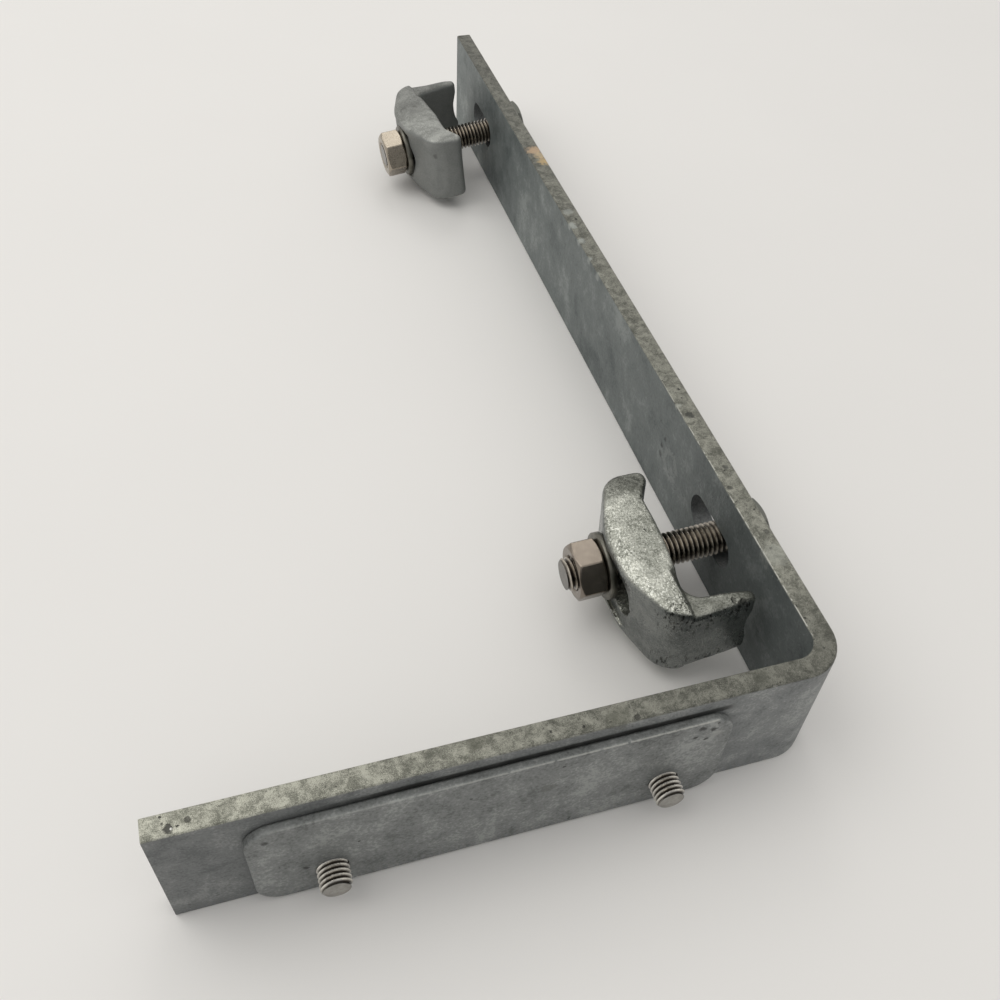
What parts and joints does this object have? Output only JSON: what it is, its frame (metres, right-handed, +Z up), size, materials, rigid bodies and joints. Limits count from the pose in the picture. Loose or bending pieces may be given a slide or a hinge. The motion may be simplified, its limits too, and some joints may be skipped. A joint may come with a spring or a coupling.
{
  "type": "slotted l-shaped mounting bracket",
  "caption": "Bent flat bar standing on its edge, with two cast claws on loose bolts inside its long leg and a tapped plate screwed to the outside of its short leg.",
  "frame": {"origin": "under the middle of the whole object's bounding box, on the table it stands on", "axes": "+Z up, across the bar's width; +Y along the long leg, away from the bend; -X along the short leg, away from the bend"},
  "size_m": [0.1804, 0.3584, 0.04],
  "materials": {
    "bar_zinc": "hot-dip galvanised, matt and mottled",
    "plate_zinc": "hot-dip galvanised, matt and mottled",
    "cast_zinc": "galvanised casting, rough",
    "bolt_steel": "bare stainless thread",
    "nut_steel": "satin stainless",
    "washer_steel": "satin stainless",
    "screw_steel": "bright stainless thread"
  },
  "bodies": {
    "root": {"clamp_plate": "plate_zinc", "far_bolt": "bolt_steel", "far_claw": "cast_zinc", "far_head_washer": "washer_steel", "far_nut": "nut_steel", "far_washer": "washer_steel", "l_bracket": "bar_zinc", "near_bolt": "bolt_steel", "near_claw": "cast_zinc", "near_head_washer": "washer_steel", "near_nut": "nut_steel", "near_washer": "washer_steel", "plate_screw_left": "screw_steel", "plate_screw_right": "screw_steel", "plate_washer_left": "washer_steel", "plate_washer_right": "washer_steel"}
  },
  "joints": []
}
